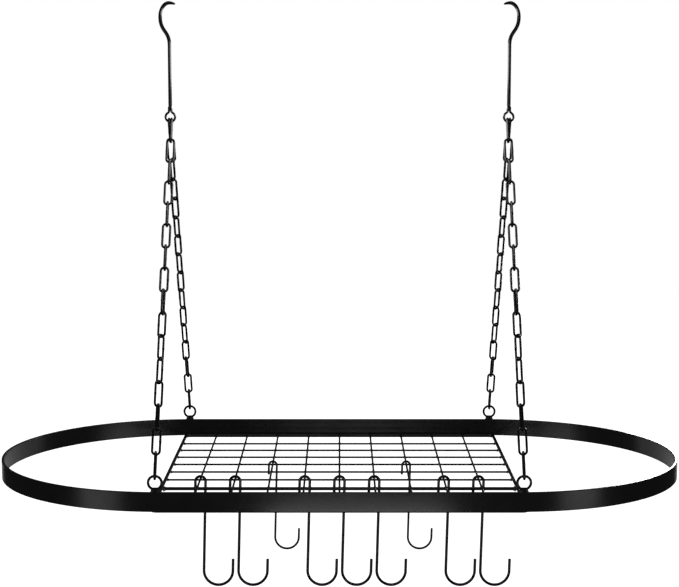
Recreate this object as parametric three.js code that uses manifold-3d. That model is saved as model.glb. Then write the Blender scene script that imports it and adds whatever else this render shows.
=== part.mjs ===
// Hanging pot rack. A flat steel band bent into an oval holds a welded wire grid. Four link chains rise from wire
// eyes on the band, two at each side, and meet in the eye of a ceiling hook. Nine loose S-hooks hang on the grid.
// Millimetres, +Z up, +X to the right, -Y towards the viewer. The origin lies midway between the two places where
// the crooks of the ceiling hooks bear on what holds them.

import * as THREE from "three";
import { mergeVertices } from "three/addons/utils/BufferGeometryUtils.js";
import Module from "manifold-3d";

// ---- Driving dimensions ----

// Gap between two separate pieces that bear on each other, running gap where a chain's end links turn, and
// overlap of two welded or fused pieces.
const seatGap = 0.3;
const pivotGap = 0.45;
const weldOverlap = 0.2;

// Oval band: flat bar on edge, with semicircular ends.
const ovalLength = 838;
const ovalDepth = 432;
const bandHeight = 22.6;
const bandThickness = 3;

// Wire grid, welded inside the band at its lower edge. Its rows of cross wires are evenly spaced from the back rail
// on, as many as leave room before the front rail. One row is a rod as thick as the rails.
const gridHalfWidth = 212.5;
const railDiameter = 4.2;
const railCornerRadius = 7;
const gridWireDiameter = 2.5;
const gridCellsAcross = 10;
const gridRowSpacing = 42.9;
const lastCellRoom = 15;
const thickRow = 7;

// Places of the chains: half the distance between the ceiling hooks, which the wire eyes share.
const hangerHalfSpan = 207;

// Wire eyes on the band's top edge: closed rings, each on a short stem of weld metal that widens towards the band.
const ringEyeWire = 3;
const ringEyeBend = 7.6;
const ringEyeCentreHeight = 10.8;
const stemTopHeight = 5.2;
const stemTopWidth = 8.4;
const stemFootWidth = 11.2;
const stemThickness = 2.9;

// How far to each side of its middle an eye bears a link; that arc has finer facets.
const eyeBearing = THREE.MathUtils.degToRad(35);

// Ceiling hooks. The belly is the bow from the crook's widest level down to the straight shank.
const hookRod = 4.5;
const crookHalfWidth = 11;
const crookRise = 17;
const crookTipReach = 7.5;
const crookTipDrop = 1.6;
const crookTipDiameter = 1.2;
const crookTaperLength = 9;
const crookBelly = 34;
const bellyEase = 18;
const shankLength = 72.8;

// Eye of a ceiling hook. Its neck reaches down from the shank's end to the eye's centre; its tail ends beside the
// thinned rod, and the two part at the throat.
const hookEyeWire = 2.8;
const hookEyeBend = 5.8;
const hookEyeNeck = 14;
const hookEyeTail = 9.9;
const hookEyeThroat = 7.2;
const hookEyeShoulder = THREE.MathUtils.degToRad(40);

// Chain links.
const linkWire = 2.8;
const linkInnerLength = 28.3;
const linkWidth = 11.5;
const linksPerChain = 16;

// The two first links lie side by side in the hook's eye, this far each from its middle.
const firstLinkOffset = 1.6;

// Contacts at which a chain has a little twist, counted from the hook; the twists add up to a quarter turn.
const frontTwists = { from: 8, to: 15 };
const backUpperTwists = { from: 1, to: 4 };
const backLowerTwists = { from: 12, to: 15 };

// S-hooks: long and short, each hung just in front of a cross wire of the grid.
const longHook = {
  rod: 3.5,
  topBend: 6.2,
  bottomBend: 17.75,
  height: 139,
  tipHeight: 34.8,
  shortLeg: 14,
  gridRow: 6,
};
const shortHook = {
  rod: 2.8,
  topBend: 5.05,
  bottomBend: 15.1,
  height: 116,
  tipHeight: 28.3,
  shortLeg: 12,
  gridRow: 4,
};
const hookOrder = [longHook, longHook, shortHook, longHook, longHook, longHook, shortHook, longHook, longHook];
const hookRowOffset = 5.5;
const hookLean = THREE.MathUtils.degToRad(1.5);

// ---- Facets ----

const linkSides = 6;
const linkArcDivisions = 2;
const hookSides = 6;
const hookArcDivisions = 3;
const eyeArcDivisions = 3;
const crookDivisions = 3;
const forgedSides = 6;
const railSides = 6;
const railCornerDivisions = 1;
const wireSides = 6;
const bandArcDivisions = 14;

// ---- Sizes that follow ----

const endRadius = ovalDepth / 2;
const straightHalfLength = ovalLength / 2 - endRadius;
const bandMiddleRadius = endRadius - bandThickness / 2;
const gridHalfDepth = endRadius - bandThickness - seatGap - railDiameter / 2;
const cellWidth = (2 * gridHalfWidth) / gridCellsAcross;
const gridRows = Math.floor((2 * gridHalfDepth - lastCellRoom) / gridRowSpacing);
const rowY = (row) => gridHalfDepth - row * gridRowSpacing;

// Levels, down from the crooks' bearing point to the band's top edge.
const crookTopLevel = hookRod / 2;
const crookWidestLevel = crookTopLevel - crookRise;
const shankTopLevel = crookWidestLevel - crookBelly;
const shankEndLevel = shankTopLevel - shankLength;
const hookEyeLevel = shankEndLevel - hookEyeNeck;

// A first link's wire lies inside the hook's eye, beside its lowest point; the chain's line starts at the middle
// of the eye's wire under it.
const firstLinkSeat = hookEyeBend - (hookEyeWire + linkWire) / 2 - seatGap;
const firstLinkDepth = Math.sqrt(firstLinkSeat ** 2 - firstLinkOffset ** 2);
const chainTopLevel = hookEyeLevel - firstLinkDepth - (hookEyeWire + linkWire) / 2 - seatGap;

// Half depth between the chains' lower ends: the band's middle line at the hangers.
const pastStraight = Math.max(0, hangerHalfSpan - straightHalfLength);
const ringEyeHalfDepth = Math.sqrt(bandMiddleRadius ** 2 - pastStraight ** 2);

// A chain's links: the length of the wire's middle line, the steps from link to link, and how far the middles of
// the end links lie from the ends of the chain's line.
const linkLineLength = linkInnerLength + linkWire;
const looseStep = linkInnerLength - seatGap;
const fusedStep = linkInnerLength + weldOverlap;
const pivotStep = linkInnerLength - pivotGap;
const topReach = linkLineLength / 2 - (linkWire + hookEyeWire) / 2 - seatGap;
const bottomReach = linkLineLength / 2 - (linkWire + ringEyeWire) / 2 - pivotGap;
const pairsPerChain = (linksPerChain - 2) / 2;
const chainLength = topReach + pivotStep + pairsPerChain * (fusedStep + looseStep) + bottomReach;
const chainDrop = Math.sqrt(chainLength ** 2 - ringEyeHalfDepth ** 2 - firstLinkOffset ** 2);
const ringEyeTopHeight = ringEyeCentreHeight + ringEyeBend;
const bandTopLevel = chainTopLevel - chainDrop - ringEyeTopHeight;

// Levels of the grid below the band's top edge.
const gridWireLevel = -bandHeight;
const levelUnderWires = (diameter) => gridWireLevel - (gridWireDiameter + diameter) / 2 + weldOverlap;

// ---- Solids and joins ----

const wasm = await Module();
wasm.setup();

function toSolid(geometry) {
  const bare = geometry.clone();
  bare.deleteAttribute("normal");
  bare.deleteAttribute("uv");
  const merged = mergeVertices(bare, 1e-4);
  return new wasm.Manifold(
    new wasm.Mesh({
      numProp: 3,
      vertProperties: new Float32Array(merged.attributes.position.array),
      triVerts: new Uint32Array(merged.index.array),
    }),
  );
}

function toGeometry(solid) {
  const mesh = solid.getMesh();
  const geometry = new THREE.BufferGeometry();
  geometry.setAttribute("position", new THREE.BufferAttribute(mesh.vertProperties, 3));
  geometry.setIndex(new THREE.BufferAttribute(mesh.triVerts, 1));
  return geometry;
}

function joined(geometries) {
  const solids = geometries.map(toSolid);
  const whole = solids.reduce((sum, solid) => sum.add(solid));
  return toGeometry(whole);
}

// A rod bent along a path in the XZ plane: a ring of points at each point of the path, with two of them in the
// plane of the bend. radiusAt gives the rod's radius at a length from the path's start.
function bentRod(path, divisions, sides, radiusAt, closed = false) {
  const line = path.getPoints(divisions).filter((p, i, all) => i === 0 || p.distanceTo(all[i - 1]) > 1e-6);
  if (closed && line[0].distanceTo(line[line.length - 1]) < 1e-6) {
    line.pop();
  }
  const count = line.length;
  const positions = [];
  let travelled = 0;
  for (let i = 0; i < count; i++) {
    const before = closed ? line[(i + count - 1) % count] : line[Math.max(i - 1, 0)];
    const after = closed ? line[(i + 1) % count] : line[Math.min(i + 1, count - 1)];
    const incoming = line[i].clone().sub(before).normalize();
    const outgoing = after.clone().sub(line[i]).normalize();
    const along = incoming.add(outgoing).normalize();
    if (!closed && (i === 0 || i === count - 1)) {
      along.copy(path.getTangent(i === 0 ? 0 : 1));
    }
    travelled += i === 0 ? 0 : line[i].distanceTo(line[i - 1]);
    const radius = radiusAt(travelled);
    for (let j = 0; j < sides; j++) {
      const angle = (2 * Math.PI * j) / sides;
      const inPlane = radius * Math.cos(angle);
      positions.push(line[i].x + along.y * inPlane, radius * Math.sin(angle), line[i].y - along.x * inPlane);
    }
  }
  const index = [];
  const spans = closed ? count : count - 1;
  for (let i = 0; i < spans; i++) {
    const ring = i * sides;
    const next = ((i + 1) % count) * sides;
    for (let j = 0; j < sides; j++) {
      const k = (j + 1) % sides;
      index.push(ring + j, next + k, next + j, ring + j, ring + k, next + k);
    }
  }
  if (!closed) {
    const last = (count - 1) * sides;
    for (let j = 1; j < sides - 1; j++) {
      index.push(0, j + 1, j, last, last + j, last + j + 1);
    }
  }
  const geometry = new THREE.BufferGeometry();
  geometry.setAttribute("position", new THREE.Float32BufferAttribute(positions, 3));
  geometry.setIndex(index);
  return geometry;
}

const evenly = (diameter) => () => diameter / 2;

// The round part of an eye, in three arcs: up to the bearing, the bearing itself and past it.
function eyeArc(path, level, bend, [start, middle, end]) {
  path.absarc(0, level, bend, start, middle - eyeBearing, false);
  path.absarc(0, level, bend, middle - eyeBearing, middle + eyeBearing, false);
  path.absarc(0, level, bend, middle + eyeBearing, end, false);
}

// ---- Finish ----

const blackPowderCoat = { color: 0x161616, roughness: 0.42, metalness: 0.1 };

function piece(name, geometry) {
  geometry.computeVertexNormals();
  const mesh = new THREE.Mesh(geometry, new THREE.MeshStandardMaterial(blackPowderCoat));
  mesh.name = name;
  return mesh;
}

// ---- Oval band ----

function ovalPath(PathType, radius) {
  const path = new PathType();
  path.absarc(straightHalfLength, 0, radius, -Math.PI / 2, Math.PI / 2, false);
  path.absarc(-straightHalfLength, 0, radius, Math.PI / 2, (3 * Math.PI) / 2, false);
  path.closePath();
  return path;
}

function ovalBand() {
  const outline = ovalPath(THREE.Shape, endRadius);
  outline.holes.push(ovalPath(THREE.Path, endRadius - bandThickness));
  const geometry = new THREE.ExtrudeGeometry(outline, {
    depth: bandHeight,
    steps: 1,
    bevelEnabled: false,
    curveSegments: bandArcDivisions,
  });
  geometry.translate(0, 0, -bandHeight);
  return piece("oval_band", geometry);
}

// ---- Wire grid ----

function gridFrame() {
  const path = new THREE.Path();
  const x = gridHalfWidth - railCornerRadius;
  const y = gridHalfDepth - railCornerRadius;
  path.absarc(x, y, railCornerRadius, 0, Math.PI / 2, false);
  path.absarc(-x, y, railCornerRadius, Math.PI / 2, Math.PI, false);
  path.absarc(-x, -y, railCornerRadius, Math.PI, 1.5 * Math.PI, false);
  path.absarc(x, -y, railCornerRadius, 1.5 * Math.PI, 2 * Math.PI, false);
  const frame = bentRod(path, railCornerDivisions, railSides, evenly(railDiameter), true);
  return frame.rotateX(Math.PI / 2);
}

// A straight wire along Y, with two of its facets' edges at the top and bottom.
function gridWire(diameter, length) {
  return new THREE.CylinderGeometry(diameter / 2, diameter / 2, length, wireSides);
}

function wireGrid() {
  const rods = [gridFrame().translate(0, 0, gridWireLevel)];
  for (let i = 1; i < gridCellsAcross; i++) {
    const along = gridWire(gridWireDiameter, 2 * gridHalfDepth);
    rods.push(along.translate(i * cellWidth - gridHalfWidth, 0, gridWireLevel));
  }
  for (let row = 1; row <= gridRows; row++) {
    const diameter = row === thickRow ? railDiameter : gridWireDiameter;
    const across = gridWire(diameter, 2 * gridHalfWidth).rotateZ(Math.PI / 2);
    rods.push(across.translate(0, rowY(row), levelUnderWires(diameter)));
  }
  return piece("wire_grid", joined(rods));
}

// ---- Wire eyes on the band ----

function ringEye(name) {
  const path = new THREE.Path();
  eyeArc(path, ringEyeCentreHeight, ringEyeBend, [-Math.PI / 2, Math.PI / 2, 1.5 * Math.PI]);
  const ring = bentRod(path, eyeArcDivisions, hookSides, evenly(ringEyeWire), true);
  const outline = new THREE.Shape();
  outline.moveTo(-stemFootWidth / 2, seatGap);
  outline.lineTo(stemFootWidth / 2, seatGap);
  outline.lineTo(stemTopWidth / 2, stemTopHeight);
  outline.lineTo(-stemTopWidth / 2, stemTopHeight);
  outline.closePath();
  const stem = new THREE.ExtrudeGeometry(outline, { depth: stemThickness, bevelEnabled: false })
    .translate(0, 0, -stemThickness / 2)
    .rotateX(Math.PI / 2);
  return piece(name, joined([ring, stem]));
}

// ---- Ceiling hooks ----

// The open crook points to +X. Below it the rod bellies back to the straight shank, thins, steps aside and bends
// into a closed eye, whose tail lies beside it.
function ceilingHook(name) {
  const throatX = (hookEyeWire + seatGap) / 2;
  const throatZ = hookEyeLevel + hookEyeThroat;
  const tailZ = hookEyeLevel + hookEyeTail;
  const thinnedZ = tailZ + seatGap;
  const taperMiddleZ = (shankEndLevel + thinnedZ) / 2;
  const shoulderX = hookEyeBend * Math.cos(hookEyeShoulder);
  const shoulderZ = hookEyeLevel + hookEyeBend * Math.sin(hookEyeShoulder);
  const ease = (throatZ - shoulderZ) / 2;
  const easeX = ease * Math.sin(hookEyeShoulder);
  const easeZ = ease * Math.cos(hookEyeShoulder);
  const path = new THREE.Path();
  path.moveTo(crookTipReach, crookTopLevel - crookTipDrop);
  path.quadraticCurveTo(crookTipReach / 2, crookTopLevel, 0, crookTopLevel);
  path.absellipse(0, crookWidestLevel, crookHalfWidth, crookRise, Math.PI / 2, Math.PI, false);
  path.bezierCurveTo(
    -crookHalfWidth,
    crookWidestLevel - bellyEase,
    0,
    shankTopLevel + bellyEase,
    0,
    shankTopLevel,
  );
  path.lineTo(0, shankEndLevel);
  const taperStart = path.getLength();
  path.bezierCurveTo(0, taperMiddleZ, -throatX, taperMiddleZ, -throatX, thinnedZ);
  const taperEnd = path.getLength();
  path.lineTo(-throatX, throatZ);
  path.bezierCurveTo(
    -throatX,
    throatZ - ease,
    -shoulderX + easeX,
    shoulderZ + easeZ,
    -shoulderX,
    shoulderZ,
  );
  const [eyeStart, eyeEnd] = [Math.PI - hookEyeShoulder, 2 * Math.PI + hookEyeShoulder];
  eyeArc(path, hookEyeLevel, hookEyeBend, [eyeStart, 1.5 * Math.PI, eyeEnd]);
  path.bezierCurveTo(
    shoulderX - easeX,
    shoulderZ + easeZ,
    throatX,
    throatZ - ease,
    throatX,
    throatZ,
  );
  path.lineTo(throatX, tailZ);
  const radiusAt = (length) => {
    const tip = THREE.MathUtils.clamp(length / crookTaperLength, 0, 1);
    const neck = THREE.MathUtils.clamp((length - taperStart) / (taperEnd - taperStart), 0, 1);
    const crook = THREE.MathUtils.lerp(crookTipDiameter, hookRod, Math.sqrt(tip));
    return THREE.MathUtils.lerp(crook, hookEyeWire, neck) / 2;
  };
  return piece(name, bentRod(path, crookDivisions, forgedSides, radiusAt));
}

// ---- Chains ----

// A link stands in the XZ plane, its long way along Z.
function linkGeometry() {
  const bend = (linkWidth - linkWire) / 2;
  const reach = linkLineLength / 2 - bend;
  const path = new THREE.Path();
  path.absarc(0, reach, bend, 0, Math.PI, false);
  path.absarc(0, -reach, bend, Math.PI, 2 * Math.PI, false);
  return bentRod(path, linkArcDivisions, linkSides, evenly(linkWire), true);
}

// Two neighbouring links, the lower one turned about the chain's line.
function linkPairGeometry(turn) {
  const upper = linkGeometry().translate(0, 0, fusedStep / 2);
  const lower = linkGeometry()
    .rotateZ(turn)
    .translate(0, 0, -fusedStep / 2);
  return joined([upper, lower]);
}

const twistSteps = frontTwists.to - frontTwists.from + 1;
const contactsPassed = (span, link) => THREE.MathUtils.clamp(link - span.from, 0, span.to - span.from + 1);

// A link's turn about the chain's line, counted from the first link, which stands in the YZ plane.
function linkTurn(row, link) {
  const twists =
    row === "front"
      ? contactsPassed(frontTwists, link)
      : contactsPassed(backUpperTwists, link) + contactsPassed(backLowerTwists, link);
  return (Math.PI / 2) * (link - 1 + twists / twistSteps);
}

const twoDigits = (number) => String(number).padStart(2, "0");

function chain(row, side, sideName) {
  const out = row === "front" ? -1 : 1;
  const top = new THREE.Vector3(side * (hangerHalfSpan + out * firstLinkOffset), 0, chainTopLevel);
  const bottom = new THREE.Vector3(side * hangerHalfSpan, out * ringEyeHalfDepth, chainTopLevel - chainDrop);
  const up = top.clone().sub(bottom).normalize();
  const planeNormal = new THREE.Vector3(1, 0, 0).projectOnPlane(up).normalize();
  const edge = planeNormal.clone().cross(up);
  const group = new THREE.Group();
  const place = (mesh, travelled, turn) => {
    const standing = new THREE.Matrix4().makeBasis(edge, planeNormal, up);
    mesh.quaternion.setFromRotationMatrix(standing.multiply(new THREE.Matrix4().makeRotationZ(side * turn)));
    mesh.position.copy(top).addScaledVector(up, -travelled);
    group.add(mesh);
  };
  const name = "chain_" + row + "_" + sideName;
  let travelled = topReach;
  place(piece(name + "_link_01", linkGeometry()), travelled, linkTurn(row, 1));
  travelled += pivotStep;
  for (let link = 2; link < linksPerChain; link += 2) {
    const turn = linkTurn(row, link);
    const pair = linkPairGeometry(side * (linkTurn(row, link + 1) - turn));
    const pairName = name + "_links_" + twoDigits(link) + "_" + twoDigits(link + 1);
    place(piece(pairName, pair), travelled + fusedStep / 2, turn);
    travelled += fusedStep + looseStep;
  }
  const lastName = name + "_link_" + twoDigits(linksPerChain);
  place(piece(lastName, linkGeometry()), travelled, linkTurn(row, linksPerChain));
  return group;
}

// ---- S-hooks ----

// The wire runs along Y under the top bend, whose middle is the hook's own origin.
function sHook(name, size) {
  const bottom = size.topBend + size.rod / 2 - size.height;
  const bendLevel = bottom + size.rod / 2 + size.bottomBend;
  const bendX = size.topBend + size.bottomBend;
  const path = new THREE.Path();
  path.moveTo(-size.topBend, -size.shortLeg);
  path.lineTo(-size.topBend, 0);
  path.absarc(0, 0, size.topBend, Math.PI, 0, true);
  path.lineTo(size.topBend, bendLevel);
  path.absarc(bendX, bendLevel, size.bottomBend, Math.PI, 2 * Math.PI, false);
  path.lineTo(bendX + size.bottomBend, bottom + size.tipHeight);
  return piece(name, bentRod(path, hookArcDivisions, hookSides, evenly(size.rod)));
}

function hungHook(number, size) {
  const hook = sHook("s_hook_" + number, size);
  const y = rowY(size.gridRow) - hookRowOffset;
  const bearing = gridWireDiameter / 2 + seatGap + size.rod / 2;
  hook.position.set(number * cellWidth - gridHalfWidth, y, gridWireLevel + bearing - size.topBend);
  hook.rotation.y = hookLean;
  return hook;
}

// ---- Assembly ----

const sides = [
  { side: -1, sideName: "left" },
  { side: 1, sideName: "right" },
];

const rack = new THREE.Group();
rack.position.z = bandTopLevel;
rack.add(ovalBand(), wireGrid());
for (const { side, sideName } of sides) {
  for (const [row, out] of [["front", -1], ["back", 1]]) {
    const eye = ringEye("ring_eye_" + row + "_" + sideName);
    eye.position.set(side * hangerHalfSpan, out * ringEyeHalfDepth, 0);
    rack.add(eye);
  }
}
hookOrder.forEach((size, i) => rack.add(hungHook(i + 1, size)));

const potRack = new THREE.Group();
potRack.add(rack);
for (const { side, sideName } of sides) {
  const hook = ceilingHook("ceiling_hook_" + sideName);
  hook.position.x = side * hangerHalfSpan;
  hook.rotation.z = side > 0 ? Math.PI : 0;
  potRack.add(hook, chain("front", side, sideName), chain("back", side, sideName));
}

export default potRack;
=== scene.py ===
# Hanging pot rack: an oval band of flat steel bar with a welded wire grid, wire eyes, four link chains, two
# ceiling hooks and nine loose pan hooks, all coated black.
# Metres, +Z up, +X to the right, -Y towards the viewer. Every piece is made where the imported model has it.

import math

import bpy
from bpy.props import FloatProperty, IntProperty, PointerProperty, StringProperty
from bpy.types import Operator, Panel, PropertyGroup
from mathutils import Matrix, Vector


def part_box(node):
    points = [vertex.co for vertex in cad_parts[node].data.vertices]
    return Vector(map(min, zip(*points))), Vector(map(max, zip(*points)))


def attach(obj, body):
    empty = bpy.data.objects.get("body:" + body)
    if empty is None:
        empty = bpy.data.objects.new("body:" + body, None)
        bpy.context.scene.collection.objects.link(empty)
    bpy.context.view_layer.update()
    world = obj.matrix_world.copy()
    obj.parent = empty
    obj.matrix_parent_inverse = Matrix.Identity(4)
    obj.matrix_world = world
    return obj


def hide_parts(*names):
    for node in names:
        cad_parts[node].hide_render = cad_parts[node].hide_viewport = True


bl_info = {
    "name": "Hanging Pot Rack",
    "version": (1, 0, 0),
    "blender": (4, 5, 0),
    "location": "View3D > Sidebar > Pot Rack",
    "description": "Models an oval hanging pot rack with its chains, ceiling hooks and pan hooks",
    "category": "Add Mesh",
}

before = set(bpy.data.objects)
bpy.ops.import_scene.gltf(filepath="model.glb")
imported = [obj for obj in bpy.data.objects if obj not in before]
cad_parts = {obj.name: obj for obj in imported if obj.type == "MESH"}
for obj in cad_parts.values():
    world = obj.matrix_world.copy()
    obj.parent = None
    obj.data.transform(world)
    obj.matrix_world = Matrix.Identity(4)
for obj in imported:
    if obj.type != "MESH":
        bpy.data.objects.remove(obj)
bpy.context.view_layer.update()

MM = 0.001
SMOOTH_ANGLE = math.radians(40)
MERGE_DISTANCE = 0.01 * MM

# Rods are drawn in the XZ plane as the viewer sees it, and the band and the grid in the XY plane as seen from
# above. A turn is counter-clockwise about the axis that points at the eye.
TO_VIEWER = Vector((0, -1, 0))
UPWARDS = Vector((0, 0, 1))
ROD_SIDES = 20
WIRE_SIDES = 14

# The angle between two rings of edges in a bend, and the same for the pan hooks' big bends, for the
# band's ends and for the links.
BEND_STEP = math.radians(7.5)
WIDE_BEND_STEP = math.radians(5)
BAND_BEND_STEP = math.radians(2.5)
LINK_BEND_STEP = math.radians(15)


# ---- Sizes that can be set ----


def length(name, description, millimetres):
    return FloatProperty(
        name=name, description=description, default=millimetres * MM, min=0.0, precision=5,
        subtype="DISTANCE", unit="LENGTH",
    )


def angle(name, description, degrees):
    return FloatProperty(
        name=name, description=description, default=math.radians(degrees), subtype="ANGLE", unit="ROTATION",
    )


def count(name, description, number, least=1):
    return IntProperty(name=name, description=description, default=number, min=least)


def hex_colour(name, description, value):
    return StringProperty(name=name, description=description, default=value, maxlen=7)


class BandSizes(PropertyGroup):
    thickness: length("Thickness", "Thickness of the flat bar", 3)
    edge_round: length("Edge rounding", "Radius of the bar's rounded edges", 0.5)


class GridSizes(PropertyGroup):
    rail: length("Rail", "Diameter of the frame's rods", 4.2)
    wire: length("Wire", "Diameter of the grid's wires", 2.5)
    corner: length("Corner", "Bend radius of the frame's corners, to the rod's middle", 7)
    sink: length("Weld sink", "How far two crossing wires are pressed into each other", 0.2)
    wire_rounding: length("Wire end rounding", "Radius of the rims at the ends of the wires", 0.2)
    cells_across: count("Cells across", "Cells from left to right", 10, 2)
    cross_wires: count("Cross wires", "Wires from left to right", 9)
    cross_spacing: length("Cross wire spacing", "From the back rail on to each cross wire", 42.9)
    thick_wire: count("Thick wire", "Number of the cross wire that is as thick as a rail", 7)


class EyeSizes(PropertyGroup):
    wire: length("Wire", "Diameter of the eye's wire", 3)
    bend: length("Bend", "Radius of the eye, to the wire's middle", 7.6)
    centre_height: length("Centre height", "Height of the eye's centre above the band", 10.8)
    stem_height: length("Stem height", "Height of the weld metal that carries the eye", 5.2)
    stem_top: length("Stem top", "Width of the weld metal at its top", 8.4)
    stem_foot: length("Stem foot", "Width of the weld metal where it meets the band", 11.2)
    stem_thickness: length("Stem thickness", "Thickness of the weld metal", 2.9)
    stem_sink: length("Stem sink", "How far the weld metal reaches into the band", 0.3)
    stem_rounding: length("Stem rounding", "Radius of the weld metal's rims", 0.5)


class CeilingHookSizes(PropertyGroup):
    rod: length("Rod", "Diameter of the shank", 4.5)
    crook_half_width: length("Crook half width", "Half the width of the crook, to the rod's middle", 11)
    crook_rise: length("Crook rise", "Height of the crook's top above its widest level", 17)
    tip_reach: length("Tip reach", "How far the tip lies past the crook's top", 7.5)
    tip_drop: length("Tip drop", "How far the tip lies below the crook's top", 1.6)
    tip: length("Tip", "Diameter of the rod at its tip", 1.2)
    tip_taper: length("Tip taper", "Length over which the tip swells to the full rod", 9)
    belly: length("Belly", "Height of the bow between the crook and the shank", 34)
    belly_ease: length("Belly ease", "How gently the bow runs into the crook and the shank", 18)
    shank: length("Shank", "Length of the straight shank", 72.8)
    eye_wire: length("Eye wire", "Diameter of the rod where it forms the eye", 2.8)
    eye_bend: length("Eye bend", "Radius of the eye, to the rod's middle", 5.8)
    eye_neck: length("Eye neck", "From the shank's end down to the eye's centre", 14)
    eye_tail: length("Eye tail", "Height of the tail's end above the eye's centre", 9.9)
    eye_throat: length("Eye throat", "Height above the eye's centre at which tail and rod part", 7.2)
    eye_shoulder: angle("Eye shoulder", "Angle above level at which the eye begins and ends", 40)
    eye_weld: length("Eye weld", "Height of the weld that closes the eye", 6)
    eye_weld_width: length("Eye weld width", "Width of the weld that closes the eye", 5.32)
    gap: length("Tail gap", "Gap between the eye's tail and the rod beside it", 0.3)
    end_rounding: length("End rounding", "Radius of the rims at the tip and the tail", 0.3)


class ChainSizes(PropertyGroup):
    wire: length("Wire", "Diameter of a link's wire", 2.8)
    inner_length: length("Inner length", "Length of a link's opening", 28.3)
    width: length("Width", "Outer width of a link", 11.5)
    links: count("Links", "Links in each chain", 16, 3)
    pivot_gap: length("Pivot gap", "Running gap under the first link", 0.45)
    seam_swell: length("Seam swell", "How far the butt weld stands proud of the wire", 0.14)
    seam_length: length("Seam length", "Length of the swelling at the butt weld", 4.5)
    tuck: length("Tuck", "How far the last link leans in, to stay inside the packed box", 0.2)
    rubbed_reach: length("Rubbed reach", "How far from the middle of a bend the coat is rubbed", 3.2)


class PanHookSizes(PropertyGroup):
    rod: length("Rod", "Diameter of the rod", 3.5)
    top_bend: length("Top bend", "Radius of the top bend, to the rod's middle", 6.2)
    bottom_bend: length("Bottom bend", "Radius of the bottom bend, to the rod's middle", 17.75)
    height: length("Height", "Overall height of the hook", 139)
    tip_height: length("Tip height", "Height of the open end above the hook's lowest point", 34.8)
    short_leg: length("Short leg", "Length of the short leg beside the top bend", 14)
    lean: angle("Lean", "How far the hook hangs out of plumb", 1.5)
    end_rounding: length("End rounding", "Radius of the rims at the hook's ends", 0.35)


class StageSizes(PropertyGroup):
    lens: FloatProperty(
        name="Lens", description="Focal length on a 36 mm wide sensor", default=85.8, unit="CAMERA"
    )
    distance: length("Distance", "Camera's distance in front of the rack's middle", 1992)
    height: length("Height", "Camera's height above the band's top edge", 428)
    pitch: angle("Pitch", "How far the camera looks down", 6.54)
    floor_drop: length("Floor drop", "Distance from the lowest pan hook to the floor", 1440)


class Finishes(PropertyGroup):
    powder: hex_colour("Powder coat", "Colour of the band, grid and eyes", "#111111")
    chain: hex_colour("Chain coat", "Colour of the links", "#0a0a0a")
    rod: hex_colour("Hook coat", "Colour of the ceiling and pan hooks", "#0c0c0c")
    steel: hex_colour("Bare steel", "Colour of the steel where the coat is rubbed", "#34322f")


class PotRackSettings(PropertyGroup):
    band: PointerProperty(type=BandSizes)
    grid: PointerProperty(type=GridSizes)
    eye: PointerProperty(type=EyeSizes)
    ceiling_hook: PointerProperty(type=CeilingHookSizes)
    chain: PointerProperty(type=ChainSizes)
    long_hook: PointerProperty(type=PanHookSizes)
    short_hook: PointerProperty(type=PanHookSizes)
    stage: PointerProperty(type=StageSizes)
    finish: PointerProperty(type=Finishes)


SHORT_HOOK = {
    "rod": 2.8 * MM,
    "top_bend": 5.05 * MM,
    "bottom_bend": 15.1 * MM,
    "height": 116 * MM,
    "tip_height": 28.3 * MM,
    "short_leg": 12 * MM,
}
SHORT_HOOK_NUMBERS = (3, 7)
PAN_HOOKS = 9

SIDES = {"left": -1, "right": 1}
ROWS = {"front": -1, "back": 1}

# Contacts at which a chain has a little twist, from the first number to the second, counted from the hook.
# The eight of a chain add up to a quarter turn.
TWISTS = {"front": ((8, 15),), "back": ((1, 4), (12, 15))}
TWIST_STEPS = 8


# ---- Rods drawn with edit-mode operators ----


def clear_selection():
    bpy.ops.object.select_all(action="DESELECT")


def open_all():
    """Opens the active object in edit mode with all of it selected."""
    bpy.ops.object.mode_set(mode="EDIT")
    bpy.ops.mesh.select_mode(type="VERT")
    bpy.ops.mesh.select_all(action="SELECT")


def begin_rod(name, place, heading, diameter, sides=ROD_SIDES):
    """Adds the rod's first ring of edges, square to its heading, and opens it in edit mode."""
    clear_selection()
    turned = heading.to_track_quat("Z", "Y").to_euler()
    bpy.ops.mesh.primitive_circle_add(vertices=sides, radius=diameter / 2, location=place, rotation=turned)
    rod = bpy.context.object
    rod.name = rod.data.name = name
    open_all()
    return rod


def straight(by):
    """Draws the rod's end out by a vector."""
    bpy.ops.mesh.extrude_region_move(TRANSFORM_OT_translate={"value": by})


def bend(centre, turn, axis=TO_VIEWER, step=BEND_STEP):
    """Carries the rod's end round a centre. The spin operator itself counts clockwise."""
    steps = max(2, round(abs(turn) / step))
    bpy.ops.mesh.spin(steps=steps, angle=-turn, center=centre, axis=axis)


def follow(stations):
    """Carries the rod's end, which is at the first station, through the rest. A station is a place in the XZ
    plane, a heading counted from +X, and a diameter."""
    for (place, heading, diameter), (next_place, next_heading, next_diameter) in zip(stations, stations[1:]):
        straight(next_place - place)
        turn = (next_heading - heading + math.pi) % (2 * math.pi) - math.pi
        bpy.ops.transform.rotate(
            value=turn, orient_axis="Y", orient_type="GLOBAL", center_override=next_place
        )
        ratio = next_diameter / diameter
        bpy.ops.transform.resize(value=(ratio, ratio, ratio), center_override=next_place)


def close_ends(rounding):
    """Caps the rod's open ends and rounds their rims."""
    bpy.ops.mesh.select_mode(type="EDGE")
    bpy.ops.mesh.select_all(action="DESELECT")
    bpy.ops.mesh.select_non_manifold()
    bpy.ops.mesh.fill_holes(sides=0)
    bpy.ops.mesh.select_mode(type="FACE")
    bpy.ops.mesh.select_all(action="DESELECT")
    bpy.ops.mesh.select_face_by_sides(number=4, type="GREATER")
    bpy.ops.mesh.bevel(offset=rounding, segments=3, affect="EDGES")


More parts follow.
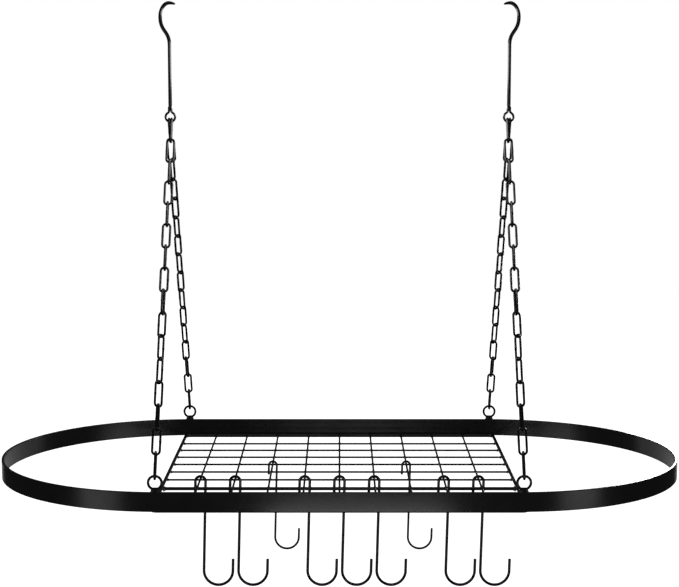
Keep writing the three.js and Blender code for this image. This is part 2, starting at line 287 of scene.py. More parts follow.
def finish_mesh(piece, end_rounding=None):
    """Merges doubles, closes the ends, turns the faces outwards and leaves the object at the origin."""
    bpy.ops.mesh.select_all(action="SELECT")
    bpy.ops.mesh.remove_doubles(threshold=MERGE_DISTANCE)
    if end_rounding:
        close_ends(end_rounding)
    bpy.ops.mesh.select_all(action="SELECT")
    bpy.ops.mesh.normals_make_consistent(inside=False)
    bpy.ops.object.mode_set(mode="OBJECT")
    clear_selection()
    piece.select_set(True)
    bpy.context.view_layer.objects.active = piece
    bpy.ops.object.transform_apply(location=True, rotation=True, scale=True)
    bpy.ops.object.shade_smooth_by_angle(angle=SMOOTH_ANGLE)
    return piece


def copy_of(pattern, name, placing):
    """Puts a copy of the pattern in its place, with a mesh of its own."""
    copy = pattern.copy()
    copy.data = pattern.data.copy()
    copy.name = copy.data.name = name
    copy.data.transform(placing)
    bpy.context.collection.objects.link(copy)
    return copy


def discard(pattern):
    bpy.data.objects.remove(pattern)


def joined(name, pieces):
    """Makes one mesh of the pieces, in the first of them."""
    clear_selection()
    for piece in pieces:
        piece.select_set(True)
    bpy.context.view_layer.objects.active = pieces[0]
    bpy.ops.object.join()
    whole = bpy.context.object
    whole.name = whole.data.name = name
    return whole


def dress(piece, body, node, material):
    """Gives a piece its finish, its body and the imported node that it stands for."""
    piece.data.materials.clear()
    piece.data.materials.append(material)
    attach(piece, body)
    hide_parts(node)


def at(x, z):
    """A place or a way in the XZ plane."""
    return Vector((x, 0, z))


def arc_stations(centre, radius, start, end, diameter):
    """Stations round a counter-clockwise arc."""
    steps = round((end - start) / BEND_STEP)
    stations = []
    for i in range(steps + 1):
        a = start + (end - start) * i / steps
        place = centre + radius * at(math.cos(a), math.sin(a))
        stations.append((place, a + math.pi / 2, diameter))
    return stations


def bezier_stations(points, diameters, steps):
    """Stations along a cubic curve, with the diameter going evenly from the first to the second."""
    p0, p1, p2, p3 = points
    stations = []
    for i in range(steps + 1):
        t = i / steps
        s = 1 - t
        place = s**3 * p0 + 3 * s * s * t * p1 + 3 * s * t * t * p2 + t**3 * p3
        along = s * s * (p1 - p0) + 2 * s * t * (p2 - p1) + t * t * (p3 - p2)
        diameter = s * diameters[0] + t * diameters[1]
        stations.append((place, math.atan2(along.z, along.x), diameter))
    return stations


# ---- Materials ----

# How much darker and lighter than its colour a coat is in patches.
DARKER_PATCH = 0.8
LIGHTER_PATCH = 1.25


def linear(hex_value, strength=1):
    """An sRGB hex value as a linear colour with alpha, made lighter or darker by its strength."""
    channels = [int(hex_value[i : i + 2], 16) / 255 for i in (1, 3, 5)]
    linears = [c / 12.92 if c <= 0.04045 else ((c + 0.055) / 1.055) ** 2.4 for c in channels]
    return [strength * c for c in linears] + [1.0]


def add_node(tree, kind, settings=None, values=None, links=None):
    """Adds a node: its own settings, the values of its sockets, and the outputs that feed its sockets."""
    node = tree.nodes.new(kind)
    for name, value in (settings or {}).items():
        setattr(node, name, value)
    for socket, value in (values or {}).items():
        node.inputs[socket].default_value = value
    for socket, output in (links or {}).items():
        tree.links.new(output, node.inputs[socket])
    return node


def coated_steel(name, colour, roughness, spread, texture, mottle, rubbed=None):
    """Black coat on steel, made once, under a name that no slot of the frame has. spread is how far the
    roughness wanders, texture the size and depth of the coat's skin, mottle the size of its patches, and
    rubbed the colour that shows where the attribute says."""
    if name in bpy.data.materials:
        return bpy.data.materials[name]
    material = bpy.data.materials.new(name)
    material.use_nodes = True
    tree = material.node_tree
    tree.nodes.clear()
    place = add_node(tree, "ShaderNodeTexCoord").outputs["Object"]
    patches = add_node(
        tree, "ShaderNodeTexNoise", values={"Scale": 1 / mottle, "Detail": 3.0, "Roughness": 0.6},
        links={"Vector": place},
    ).outputs["Fac"]
    skin_size, skin_depth = texture
    skin = add_node(
        tree, "ShaderNodeTexNoise", values={"Scale": 1 / skin_size, "Detail": 2.0, "Roughness": 0.55},
        links={"Vector": place},
    ).outputs["Fac"]
    dull = add_node(
        tree, "ShaderNodeMapRange",
        values={"From Min": 0.3, "From Max": 0.7, "To Min": roughness - spread, "To Max": roughness + spread},
        links={"Value": patches},
    ).outputs["Result"]
    shade = add_node(
        tree, "ShaderNodeMix", {"data_type": "RGBA"},
        values={"A": linear(colour, DARKER_PATCH), "B": linear(colour, LIGHTER_PATCH)},
        links={"Factor": patches},
    ).outputs["Result"]
    if rubbed:
        worn = add_node(tree, "ShaderNodeAttribute", {"attribute_name": "rubbed"}).outputs["Fac"]
        broken = add_node(
            tree, "ShaderNodeMath", {"operation": "MULTIPLY"}, links={0: worn, 1: skin}
        ).outputs["Value"]
        shade = add_node(
            tree, "ShaderNodeMix", {"data_type": "RGBA"}, values={"B": linear(rubbed)},
            links={"Factor": broken, "A": shade},
        ).outputs["Result"]
    bump = add_node(
        tree, "ShaderNodeBump", values={"Strength": 1.0, "Distance": skin_depth}, links={"Height": skin}
    ).outputs["Normal"]
    shader = add_node(
        tree, "ShaderNodeBsdfPrincipled", values={"IOR": 1.5},
        links={"Base Color": shade, "Roughness": dull, "Normal": bump},
    )
    add_node(tree, "ShaderNodeOutputMaterial", links={"Surface": shader.outputs["BSDF"]})
    return material


def powder_coat(finish):
    """Satin polyester powder coat, baked on: even and black, with a faint orange peel about 1.5 mm across."""
    return coated_steel("baked_powder_coat", finish.powder, 0.25, 0.03, (1.5 * MM, 0.003 * MM), 30 * MM)


def chain_coat(finish):
    """Dipped black lacquer on bent steel wire: glossier than powder, thin and rubbed where the links bear."""
    return coated_steel(
        "black_dipped_lacquer", finish.chain, 0.2, 0.04, (0.9 * MM, 0.003 * MM), 8 * MM, rubbed=finish.steel
    )


def hook_coat(finish):
    """Black enamel on drawn steel rod: closer than powder and semi-gloss, with sharper lights."""
    return coated_steel("black_rod_enamel", finish.rod, 0.22, 0.04, (1.2 * MM, 0.003 * MM), 15 * MM)


# ---- The pieces ----


def band_top():
    """The level of the band's top edge."""
    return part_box("oval_band")[1].z


class POTRACK_OT_oval_band(Operator):
    """Models the flat bar that is bent on edge into an oval"""

    bl_idname = "pot_rack.oval_band"
    bl_label = "Oval Band"

    def execute(self, context):
        settings = context.scene.pot_rack
        sizes = settings.band
        low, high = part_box("oval_band")
        end_radius = high.y
        straight_half = high.x - end_radius
        middle_radius = end_radius - sizes.thickness / 2
        start = Vector((straight_half, -middle_radius, (low.z + high.z) / 2))
        clear_selection()
        bpy.ops.mesh.primitive_plane_add(size=1, location=start, rotation=(0, math.pi / 2, 0))
        band = bpy.context.object
        open_all()
        section = (1, sizes.thickness, high.z - low.z)
        bpy.ops.transform.resize(value=section, center_override=start)
        bpy.ops.mesh.delete(type="ONLY_FACE")
        bpy.ops.mesh.select_all(action="SELECT")
        for side in (1, -1):
            bend(Vector((side * straight_half, 0, start.z)), math.pi, UPWARDS, BAND_BEND_STEP)
            straight(Vector((-side * 2 * straight_half, 0, 0)))
        finish_mesh(band)
        rounding = band.modifiers.new("edge_round", "BEVEL")
        rounding.width = sizes.edge_round
        rounding.segments = 3
        rounding.limit_method = "ANGLE"
        rounding.angle_limit = math.radians(60)  # only the bar's four long edges
        bpy.ops.object.modifier_apply(modifier=rounding.name)
        bpy.ops.object.shade_smooth_by_angle(angle=SMOOTH_ANGLE)
        band.name = band.data.name = "bent_band"
        dress(band, "rack", "oval_band", powder_coat(settings.finish))
        return {"FINISHED"}


class POTRACK_OT_wire_grid(Operator):
    """Models the frame of rods and the wires welded across it"""

    bl_idname = "pot_rack.wire_grid"
    bl_label = "Wire Grid"

    def execute(self, context):
        settings = context.scene.pot_rack
        sizes = settings.grid
        half_x, half_y, level = grid_place(sizes)
        parts = [self.frame_rods(sizes, half_x, half_y, level)]
        columns = [half_x * (2 * i / sizes.cells_across - 1) for i in range(1, sizes.cells_across)]
        rows = []
        for number in range(1, sizes.cross_wires + 1):
            diameter = sizes.rail if number == sizes.thick_wire else sizes.wire
            under = level - (sizes.wire + diameter) / 2 + sizes.sink
            rows.append((half_y - number * sizes.cross_spacing, under, diameter))
        along, across = Vector((0, 2 * half_y, 0)), Vector((2 * half_x, 0, 0))
        for x in columns:
            parts.append(self.wire(sizes, sizes.wire, Vector((x, -half_y, level)), along))
        for y, under, diameter in rows:
            parts.append(self.wire(sizes, diameter, Vector((-half_x, y, under)), across))
        spot = self.weld_spot(sizes)
        contact = level - (sizes.wire - sizes.sink) / 2
        for x in columns:
            for y, _, _ in rows:
                parts.append(copy_of(spot, "weld_spot", Matrix.Translation(Vector((x, y, contact)))))
        fillet = self.weld_fillet(sizes)
        edge = sizes.rail / 2
        for side in (-1, 1):
            turned = Matrix.Rotation(side * math.pi / 2, 4, "X")
            for x in columns:
                place = Matrix.Translation(Vector((x, side * (half_y - edge), level)))
                parts.append(copy_of(fillet, "weld_fillet", place @ turned))
            turned = Matrix.Rotation(-side * math.pi / 2, 4, "Y")
            for y, under, diameter in rows:
                place = Matrix.Translation(Vector((side * (half_x - edge), y, under)))
                grown = Matrix.Scale(diameter / sizes.wire, 4)
                parts.append(copy_of(fillet, "weld_fillet", place @ turned @ grown))
        discard(spot)
        discard(fillet)
        grid = joined("welded_grid", parts)
        dress(grid, "rack", "wire_grid", powder_coat(settings.finish))
        return {"FINISHED"}

    def frame_rods(self, sizes, half_x, half_y, level):
        run_x, run_y = half_x - sizes.corner, half_y - sizes.corner
        start = Vector((run_x, -half_y, level))
        rods = begin_rod("frame_rods", start, Vector((1, 0, 0)), sizes.rail, WIRE_SIDES)
        corners = [(run_x, -run_y), (run_x, run_y), (-run_x, run_y), (-run_x, -run_y)]
        runs = [(0, 2 * run_y), (-2 * run_x, 0), (0, -2 * run_y), (2 * run_x, 0)]
        for corner, run in zip(corners, runs):
            bend(Vector((*corner, level)), math.pi / 2, UPWARDS)
            straight(Vector((*run, 0)))
        return finish_mesh(rods)

    def wire(self, sizes, diameter, start, run):
        wire = begin_rod("grid_wire", start, run.normalized(), diameter, WIRE_SIDES)
        straight(run)
        return finish_mesh(wire, sizes.wire_rounding)

    def weld_spot(self, sizes):
        """The squeezed metal between two crossing wires: a flat bead a little wider than a wire."""
        clear_selection()
        radius = 0.72 * sizes.wire
        flatness = 0.5
        bpy.ops.mesh.primitive_uv_sphere_add(segments=10, ring_count=6, radius=radius)
        open_all()
        bpy.ops.transform.resize(value=(1, 1, flatness), center_override=(0, 0, 0))
        return finish_mesh(bpy.context.object)

    def weld_fillet(self, sizes):
        """The flared metal where a wire's end runs into the frame, with its wide foot sunk into the rod."""
        clear_selection()
        foot, top = 0.85 * sizes.wire, sizes.wire / 2
        depth = 0.8 * sizes.wire
        middle = 0.2 * depth
        bpy.ops.mesh.primitive_cone_add(
            vertices=WIRE_SIDES, radius1=foot, radius2=top, depth=depth, location=(0, 0, middle)
        )
        open_all()
        return finish_mesh(bpy.context.object)


def grid_place(sizes):
    """Half the width and depth of the grid, to the middle of its frame's rods, and their level."""
    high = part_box("wire_grid")[1]
    return high.x - sizes.rail / 2, high.y - sizes.rail / 2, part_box("oval_band")[0].z


class POTRACK_OT_ring_eyes(Operator):
    """Models the four wire eyes that stand on the band"""

    bl_idname = "pot_rack.ring_eyes"
    bl_label = "Ring Eyes"

    def execute(self, context):
        settings = context.scene.pot_rack
        sizes = settings.eye
        pattern = self.eye(sizes)
        for side_name in SIDES:
            for row_name in ROWS:
                node = f"ring_eye_{row_name}_{side_name}"
                centre = node_centre(node)
                place = Vector((centre.x, centre.y, band_top()))
                eye = copy_of(pattern, f"welded_eye_{row_name}_{side_name}", Matrix.Translation(place))
                dress(eye, "rack", node, powder_coat(settings.finish))
        discard(pattern)
        return {"FINISHED"}

    def eye(self, sizes):
        centre = at(0, sizes.centre_height)
        ring = begin_rod("ring_eye", centre + at(sizes.bend, 0), UPWARDS, sizes.wire)
        bend(centre, 2 * math.pi)
        finish_mesh(ring)
        return joined("ring_eye", [ring, self.stem(sizes)])

    def stem(self, sizes):
        """The weld metal under the eye, which spreads towards the band in a hollow curve."""
        start = at(0, -sizes.stem_sink)
        stem = begin_rod("eye_stem", start, UPWARDS, sizes.stem_foot)
        flat = sizes.stem_thickness / sizes.stem_foot
        bpy.ops.transform.resize(value=(1, flat, 1), center_override=start)
        width = sizes.stem_foot
        steps = 6
        for i in range(1, steps + 1):
            place = at(0, sizes.stem_height * i / steps)
            straight(place - start)
            start = place
            narrowed = sizes.stem_top + (sizes.stem_foot - sizes.stem_top) * (1 - i / steps) ** 2
            bpy.ops.transform.resize(value=(narrowed / width, 1, 1), center_override=place)
            width = narrowed
        return finish_mesh(stem, sizes.stem_rounding)


class POTRACK_OT_ceiling_hooks(Operator):
    """Models the two forged hooks that hang from the ceiling"""

    bl_idname = "pot_rack.ceiling_hooks"
    bl_label = "Ceiling Hooks"

    def execute(self, context):
        settings = context.scene.pot_rack
        sizes = settings.ceiling_hook
        pattern = self.hook(sizes)
        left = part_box("ceiling_hook_left")[0].x + sizes.crook_half_width + sizes.rod / 2
        for side_name, side in SIDES.items():
            turned = Matrix.Rotation(math.pi if side > 0 else 0, 4, "Z")
            place = Matrix.Translation(Vector((-side * left, 0, 0)))
            hook = copy_of(pattern, f"forged_hook_{side_name}", place @ turned)
            node = f"ceiling_hook_{side_name}"
            dress(hook, "ceiling_hooks", node, hook_coat(settings.finish))
        discard(pattern)
        return {"FINISHED"}

    def hook(self, sizes):
        """The rod from its tip over the crook, down to the eye, round it and up to the tail's end. The crook
        bears at the origin."""
        top = at(0, sizes.rod / 2)
        tip = top + at(sizes.tip_reach, -sizes.tip_drop)
        widest = top - at(0, sizes.crook_rise)
        shank_top = widest - at(0, sizes.belly)
        shank_end = shank_top - at(0, sizes.shank)
        eye = shank_end - at(0, sizes.eye_neck)
        side = widest - at(sizes.crook_half_width, 0)
        ease = at(0, sizes.belly_ease)
        bow = [side, side - ease, shank_top + ease, shank_top]
        stations = self.tip_stations(sizes, tip, top)
        stations += self.crook_stations(sizes, widest)
        stations += bezier_stations(bow, (sizes.rod, sizes.rod), 16)[1:]
        stations.append((shank_end, -math.pi / 2, sizes.rod))
        stations += self.eye_stations(sizes, shank_end, eye)
        place, heading, diameter = stations[0]
        along = Vector((math.cos(heading), 0, math.sin(heading)))
        hook = begin_rod("forged_hook", place, along, diameter)
        follow(stations)
        finish_mesh(hook, sizes.end_rounding)
        return joined("forged_hook", [hook, self.weld(sizes, eye)])

    def eye_stations(self, sizes, shank_end, eye):
        """From the shank's end to the tail's: the rod thins and steps aside to the left, opens at the
        throat, goes round the eye from its left shoulder to its right one, and comes up beside itself."""
        thin = (sizes.eye_wire, sizes.eye_wire)
        aside = (sizes.eye_wire + sizes.gap) / 2
        thinned = eye + at(-aside, sizes.eye_tail + sizes.gap)
        middle = (shank_end.z + thinned.z) / 2
        step = [shank_end, at(0, middle), at(-aside, middle), thinned]
        stations = bezier_stations(step, (sizes.rod, sizes.eye_wire), 10)[1:]
        shoulder = sizes.eye_bend * at(math.cos(sizes.eye_shoulder), math.sin(sizes.eye_shoulder))
        left, right = eye + at(-shoulder.x, shoulder.z), eye + shoulder
        ease = (sizes.eye_throat - shoulder.z) / 2
        slant = ease * at(math.sin(sizes.eye_shoulder), math.cos(sizes.eye_shoulder))
        throat = eye + at(-aside, sizes.eye_throat)
        down = [throat, throat - at(0, ease), left + slant, left]
        stations += bezier_stations(down, thin, 8)
        start, end = math.pi - sizes.eye_shoulder, 2 * math.pi + sizes.eye_shoulder
        stations += arc_stations(eye, sizes.eye_bend, start, end, sizes.eye_wire)[1:]
        throat = eye + at(aside, sizes.eye_throat)
        up = [right, right + at(-slant.x, slant.z), throat - at(0, ease), throat]
        stations += bezier_stations(up, thin, 8)[1:]
        stations.append((eye + at(aside, sizes.eye_tail), math.pi / 2, sizes.eye_wire))
        return stations

    def weld(self, sizes, eye):
        """The weld that holds the eye's tail to the rod above it."""
        middle = eye + at(0, sizes.eye_tail)
        radius = sizes.eye_weld / 2
        clear_selection()
        bpy.ops.mesh.primitive_uv_sphere_add(segments=16, ring_count=12, radius=radius, location=middle)
        open_all()
        section = (sizes.eye_weld_width / sizes.eye_weld, sizes.eye_wire / sizes.eye_weld, 1)
        bpy.ops.transform.resize(value=section, center_override=middle)
        return finish_mesh(bpy.context.object)

    def tip_stations(self, sizes, tip, top):
        """From the thin tip to the crook's top, along a quadratic curve."""
        stations = []
        corner = at(tip.x / 2, top.z)
        steps = 12
        for i in range(steps + 1):
            t = i / steps
            place = (1 - t) ** 2 * tip + 2 * t * (1 - t) * corner + t * t * top
            along = (1 - t) * (corner - tip) + t * (top - corner)
            diameter = self.swollen(sizes, (place - tip).length)
            stations.append((place, math.atan2(along.z, along.x), diameter))
        return stations

    def swollen(self, sizes, travelled):
        """The rod's diameter at a distance from the tip, swelling as a forged point does."""
        return sizes.tip + (sizes.rod - sizes.tip) * math.sqrt(min(1, travelled / sizes.tip_taper))

    def crook_stations(self, sizes, widest):
        """The quarter of an ellipse from the crook's top to its widest level."""
        stations = []
        steps = 14
        travelled = sizes.tip_reach
        last = widest + at(0, sizes.crook_rise)
        for i in range(1, steps + 1):
            a = math.pi / 2 * (1 + i / steps)
            place = widest + at(sizes.crook_half_width * math.cos(a), sizes.crook_rise * math.sin(a))
            heading = math.atan2(sizes.crook_rise * math.cos(a), -sizes.crook_half_width * math.sin(a))
            travelled += (place - last).length
            last = place
            stations.append((place, heading, self.swollen(sizes, travelled)))
        return stations


class POTRACK_OT_chains(Operator):
    """Models the four chains, link by link"""

    bl_idname = "pot_rack.chains"
    bl_label = "Chains"

    def execute(self, context):
        settings = context.scene.pot_rack
        sizes = settings.chain
        pattern = self.link(sizes)
        for side_name, side in SIDES.items():
            for row_name in ROWS:
                self.hang_chain(settings, pattern, row_name, side_name, side)
        discard(pattern)
        return {"FINISHED"}

    def link(self, sizes):
        """A link stands in the XZ plane, its long way along Z. Its butt weld is in the middle of one side."""
        bend_radius = (sizes.width - sizes.wire) / 2
        reach = (sizes.inner_length + sizes.wire) / 2 - bend_radius
        link = begin_rod("chain_link", at(bend_radius, -reach), UPWARDS, sizes.wire, WIRE_SIDES)
        rise = reach - sizes.seam_length / 2
        straight(at(0, rise))
        steps = 6
        seam = []
        for i in range(steps + 1):
            wave = math.sin(math.pi * i / steps)
            place = at(bend_radius, sizes.seam_length * (i / steps - 0.5))
            seam.append((place, math.pi / 2, sizes.wire + 2 * sizes.seam_swell * wave))
        follow(seam)
        straight(at(0, rise))
        bend(at(0, reach), math.pi, step=LINK_BEND_STEP)
        straight(at(0, -2 * reach))
        bend(at(0, -reach), math.pi, step=LINK_BEND_STEP)
        finish_mesh(link)
        self.mark_rubbed(link, sizes)
        return link

    def mark_rubbed(self, link, sizes):
        """Marks how much of the coat the neighbouring links rub off, on the inside of both bends."""
        rubbed = link.data.attributes.new("rubbed", "FLOAT", "POINT")
        for vertex in link.data.vertices:
            inside = Vector((vertex.co.x, vertex.co.y, abs(vertex.co.z) - sizes.inner_length / 2))
            rubbed.data[vertex.index].value = max(0.0, 1 - inside.length / sizes.rubbed_reach)

    def hang_chain(self, settings, pattern, row_name, side_name, side):
        sizes = settings.chain
        prefix = f"chain_{row_name}_{side_name}"
        first = node_centre(f"{prefix}_link_01")
        last = node_centre(f"{prefix}_link_{sizes.links:02d}")
        last.y -= math.copysign(sizes.tuck, last.y)
        up = (first - last).normalized()
        level = (Vector((1, 0, 0)) - up.x * up).normalized()
        across = level.cross(up)
        standing = Matrix((across, level, up)).transposed().to_4x4()
        second = first - (sizes.inner_length - sizes.pivot_gap) * up
        for number in range(1, sizes.links + 1):
            if number == 1:
                place, body = first, "first_links"
            else:
                place = second.lerp(last, (number - 2) / (sizes.links - 2))
                body = f"{side_name}_chains"
            turn = Matrix.Rotation(side * link_turn(row_name, number), 4, "Z")
            placing = Matrix.Translation(place) @ standing @ turn
            link = copy_of(pattern, f"link_{row_name}_{side_name}_{number:02d}", placing)
            node = link_node(prefix, number, sizes.links)
            dress(link, body, node, chain_coat(settings.finish))


def node_centre(node):
    low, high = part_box(node)
    return (low + high) / 2


def link_node(prefix, number, links):
    """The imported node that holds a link: the end links have their own, the others share one in pairs."""
    if number in (1, links):
        return f"{prefix}_link_{number:02d}"
    upper = number - number % 2
    return f"{prefix}_links_{upper:02d}_{upper + 1:02d}"


def link_turn(row_name, number):
    """A link's turn about the chain's line: a quarter turn from link to link, and the little twists."""
    passed = 0
    for first, last in TWISTS[row_name]:
        passed += min(max(number - first, 0), last - first + 1)
    return math.pi / 2 * (number - 1 + passed / TWIST_STEPS)


class POTRACK_OT_pan_hooks(Operator):
    """Models the nine loose hooks that hang on the grid"""

    bl_idname = "pot_rack.pan_hooks"
    bl_label = "Pan Hooks"

    def execute(self, context):
        settings = context.scene.pot_rack
        half_x = grid_place(settings.grid)[0]
        cell = 2 * half_x / settings.grid.cells_across
        patterns = {"long": self.hook(settings.long_hook), "short": self.hook(settings.short_hook)}
        for number in range(1, PAN_HOOKS + 1):
            kind = "short" if number in SHORT_HOOK_NUMBERS else "long"
            sizes = settings.short_hook if kind == "short" else settings.long_hook
            node = f"s_hook_{number}"
            low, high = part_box(node)
            top = high.z - sizes.top_bend - sizes.rod / 2
            place = Vector((number * cell - half_x, (low.y + high.y) / 2, top))
            placing = Matrix.Translation(place) @ Matrix.Rotation(sizes.lean, 4, "Y")
            hook = copy_of(patterns[kind], f"pan_hook_{number}", placing)
            dress(hook, node, node, hook_coat(settings.finish))
        for pattern in patterns.values():
            discard(pattern)
        return {"FINISHED"}

    def hook(self, sizes):
        """A hook with its top bend's middle at the origin, its short leg on the left and its open end on the
        right."""
        bottom = sizes.top_bend + sizes.rod / 2 - sizes.height
        bend_level = bottom + sizes.rod / 2 + sizes.bottom_bend
        bend_x = sizes.top_bend + sizes.bottom_bend
        hook = begin_rod("pan_hook", at(-sizes.top_bend, -sizes.short_leg), UPWARDS, sizes.rod)
        straight(at(0, sizes.short_leg))
        bend(at(0, 0), -math.pi)
        straight(at(0, bend_level))
        bend(at(bend_x, bend_level), math.pi, step=WIDE_BEND_STEP)
        straight(at(0, bottom + sizes.tip_height - bend_level))
        return finish_mesh(hook, sizes.end_rounding)


# ---- The stage ----

FLOOR_SIZE = 30

# How strongly the floor and the surroundings glow for the camera, how little of them a glossy surface
# mirrors, and how much light the surroundings give.
SEEN_FLOOR = 0.8
MIRRORED_FLOOR = 0.02
SEEN_ROOM = 1.0
MIRRORED_ROOM = 0.03
ROOM_LIGHT = 0.55
WHITE = "#ffffff"


class POTRACK_OT_stage(Operator):
    """Sets up the floor, the soft lights, the white surroundings and the camera"""

    bl_idname = "pot_rack.stage"
    bl_label = "Stage"

    def execute(self, context):
        settings = context.scene.pot_rack
        sizes = settings.stage
        context.scene.view_settings.view_transform = "Standard"
        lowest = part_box("s_hook_1")[0].z
        self.floor(lowest - sizes.floor_drop)
        self.surroundings(context.scene)
        self.lamps()
        self.camera(context.scene, sizes)
        return {"FINISHED"}

    def floor(self, level):
        """A pale floor that the camera sees white, apart from its shadows, and a glossy surface sees dark."""
        clear_selection()
        bpy.ops.mesh.primitive_plane_add(size=FLOOR_SIZE, location=(0, 0, level))
        floor = bpy.context.object
        floor.name = "studio_floor"
        bpy.ops.object.transform_apply(location=True, rotation=True, scale=True)
        material = bpy.data.materials.new("pale_floor")
        material.use_nodes = True
        tree = material.node_tree
        tree.nodes.clear()
        rays = add_node(tree, "ShaderNodeLightPath")
        paint = add_node(tree, "ShaderNodeBsdfDiffuse", values={"Color": linear("#e6e6e6")})
        glow = add_node(
            tree, "ShaderNodeEmission", values={"Color": linear(WHITE), "Strength": SEEN_FLOOR}
        )
        both = add_node(tree, "ShaderNodeAddShader", links={0: paint.outputs[0], 1: glow.outputs[0]})
        direct = add_node(
            tree, "ShaderNodeMixShader",
            links={0: rays.outputs["Is Camera Ray"], 1: paint.outputs[0], 2: both.outputs[0]},
        )
        dim = add_node(
            tree, "ShaderNodeEmission", values={"Color": linear(WHITE), "Strength": MIRRORED_FLOOR}
        )
        seen = add_node(
            tree, "ShaderNodeMixShader",
            links={0: rays.outputs["Is Glossy Ray"], 1: direct.outputs[0], 2: dim.outputs[0]},
        )
        add_node(tree, "ShaderNodeOutputMaterial", links={"Surface": seen.outputs[0]})
        floor.data.materials.append(material)

    def surroundings(self, scene):
        """The camera sees plain white, and a glossy surface sees a dark room."""
        world = bpy.data.worlds.new("plain_studio")
        world.use_nodes = True
        scene.world = world
        tree = world.node_tree
        tree.nodes.clear()
        rays = add_node(tree, "ShaderNodeLightPath")
        room = add_node(
            tree, "ShaderNodeBackground", values={"Color": linear(WHITE), "Strength": ROOM_LIGHT}
        )
        mirrored = add_node(
            tree, "ShaderNodeBackground", values={"Color": linear(WHITE), "Strength": MIRRORED_ROOM}
        )
        white = add_node(
            tree, "ShaderNodeBackground", values={"Color": linear(WHITE), "Strength": SEEN_ROOM}
        )
        glossy = add_node(
            tree, "ShaderNodeMixShader",
            links={0: rays.outputs["Is Glossy Ray"], 1: room.outputs[0], 2: mirrored.outputs[0]},
        )
        direct = add_node(
            tree, "ShaderNodeMath", {"operation": "MAXIMUM"},
            links={0: rays.outputs["Is Camera Ray"], 1: rays.outputs["Is Transmission Ray"]},
        )
        shown = add_node(
            tree, "ShaderNodeMixShader",
            links={0: direct.outputs[0], 1: glossy.outputs[0], 2: white.outputs[0]},
        )
        add_node(tree, "ShaderNodeOutputWorld", links={"Surface": shown.outputs[0]})

    def lamps(self):
        """Hangs the soft boxes, each for the light that it leaves on the coat."""
        # An even light from above.
        self.softbox("overhead", (0, -0.3, 1.6), (0, 0, 0), (1.6, 1.0), 0.5)
        # The wide light in the middle of the band's front.
        self.softbox("front_low", (0.0235, -0.42, -0.094), (0.0235, -0.216, -0.03), (0.23, 0.036), 3.7)
        # The lights inside the band's ends, and the bright edge at its far right.
        self.softbox("behind_low", (0, 0.6, -0.155), (0, 0, -0.155), (1.5, 0.2), 0.33)
        self.softbox("behind_right_end", (0.535, 0.6, 0.165), (0.4, 0, 0), (0.15, 0.12), 16)
        for side in (-1, 1):
            # The patches near the band's ends.
            self.softbox("side", (side * 3.12, -3.0, -0.88), (side * 0.27, -0.2, -0.01), (1.9, 1.1), 1.1)
            # The long light down each ceiling hook's shank.
            self.softbox("between_shanks", (side * 0.01, 0.05, 0.49), (side, 0.05, 0.49), (0.9, 0.09), 7.5)
            # The thin edge of light at each end of the band.
            self.softbox("behind_end", (side * 0.6, 0.59, -0.155), (side * 0.6, 0, -0.155), (0.16, 0.2), 0.7)

    def softbox(self, name, place, aim, size, radiance):
        """A rectangular lamp. Its place and aim, in metres, count from the middle of the band's top edge."""
        middle = Vector((0, 0, band_top()))
        light = bpy.data.lights.new(name + "_softbox", "AREA")
        light.shape = "RECTANGLE"
        light.size, light.size_y = size
        light.energy = radiance * math.pi * size[0] * size[1]
        lamp = bpy.data.objects.new(light.name, light)
        lamp.location = middle + Vector(place)
        lamp.rotation_euler = (Vector(aim) - Vector(place)).to_track_quat("-Z", "Y").to_euler()
        lamp.visible_camera = False
        bpy.context.collection.objects.link(lamp)

    def camera(self, scene, sizes):
        lens = bpy.data.cameras.new("photo_camera")
        lens.lens = sizes.lens
        camera = bpy.data.objects.new("photo_camera", lens)
        camera.location = (0, -sizes.distance, band_top() + sizes.height)
        camera.rotation_euler = (math.pi / 2 - sizes.pitch, 0, 0)
        bpy.context.collection.objects.link(camera)
        scene.camera = camera


class POTRACK_PT_sidebar(Panel):
    """Lists the rack's pieces, each with its sizes"""

    bl_idname = "POTRACK_PT_sidebar"
    bl_label = "Pot Rack"
    bl_space_type = "VIEW_3D"
    bl_region_type = "UI"
    bl_category = "Pot Rack"

    def draw(self, context):
        settings = context.scene.pot_rack
        rows = (
            (POTRACK_OT_oval_band, settings.band),
            (POTRACK_OT_wire_grid, settings.grid),
            (POTRACK_OT_ring_eyes, settings.eye),
            (POTRACK_OT_ceiling_hooks, settings.ceiling_hook),
            (POTRACK_OT_chains, settings.chain),
            (POTRACK_OT_pan_hooks, settings.long_hook, settings.short_hook),
            (POTRACK_OT_stage, settings.stage, settings.finish),
        )
        for operator, *groups in rows:
            box = self.layout.box()
            box.operator(operator.bl_idname)
            for group in groups:
                for name in group.__annotations__:
                    box.prop(group, name)


CLASSES = (
    BandSizes,
    GridSizes,
    EyeSizes,
    CeilingHookSizes,
    ChainSizes,
    PanHookSizes,
    StageSizes,
    Finishes,
    PotRackSettings,
    POTRACK_OT_oval_band,
    POTRACK_OT_wire_grid,
    POTRACK_OT_ring_eyes,
    POTRACK_OT_ceiling_hooks,
    POTRACK_OT_chains,
    POTRACK_OT_pan_hooks,
    POTRACK_OT_stage,
    POTRACK_PT_sidebar,
)


def register():
    for cls in CLASSES:
        bpy.utils.register_class(cls)
    bpy.types.Scene.pot_rack = PointerProperty(type=PotRackSettings)


def unregister():
    del bpy.types.Scene.pot_rack
    for cls in reversed(CLASSES):
        bpy.utils.unregister_class(cls)


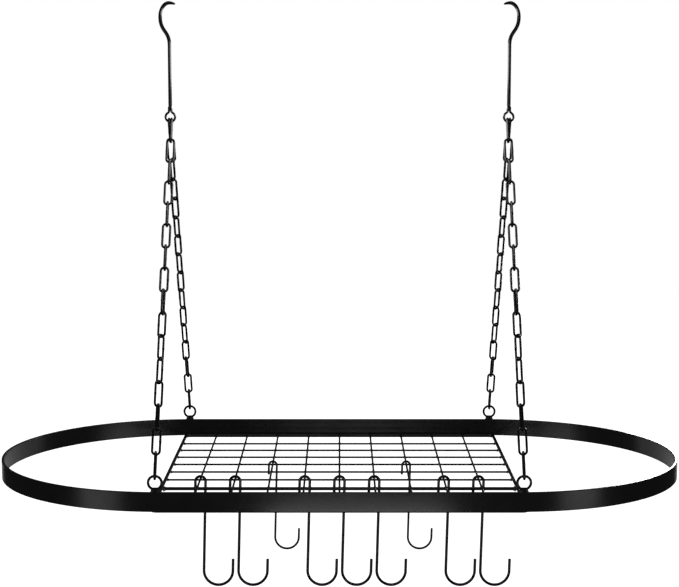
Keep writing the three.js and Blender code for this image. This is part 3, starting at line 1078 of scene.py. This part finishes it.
def main():
    register()
    for name, value in SHORT_HOOK.items():
        setattr(bpy.context.scene.pot_rack.short_hook, name, value)
    bpy.ops.pot_rack.oval_band()
    bpy.ops.pot_rack.wire_grid()
    bpy.ops.pot_rack.ring_eyes()
    bpy.ops.pot_rack.ceiling_hooks()
    bpy.ops.pot_rack.chains()
    bpy.ops.pot_rack.pan_hooks()
    bpy.ops.pot_rack.stage()


if __name__ == "__main__":
    main()
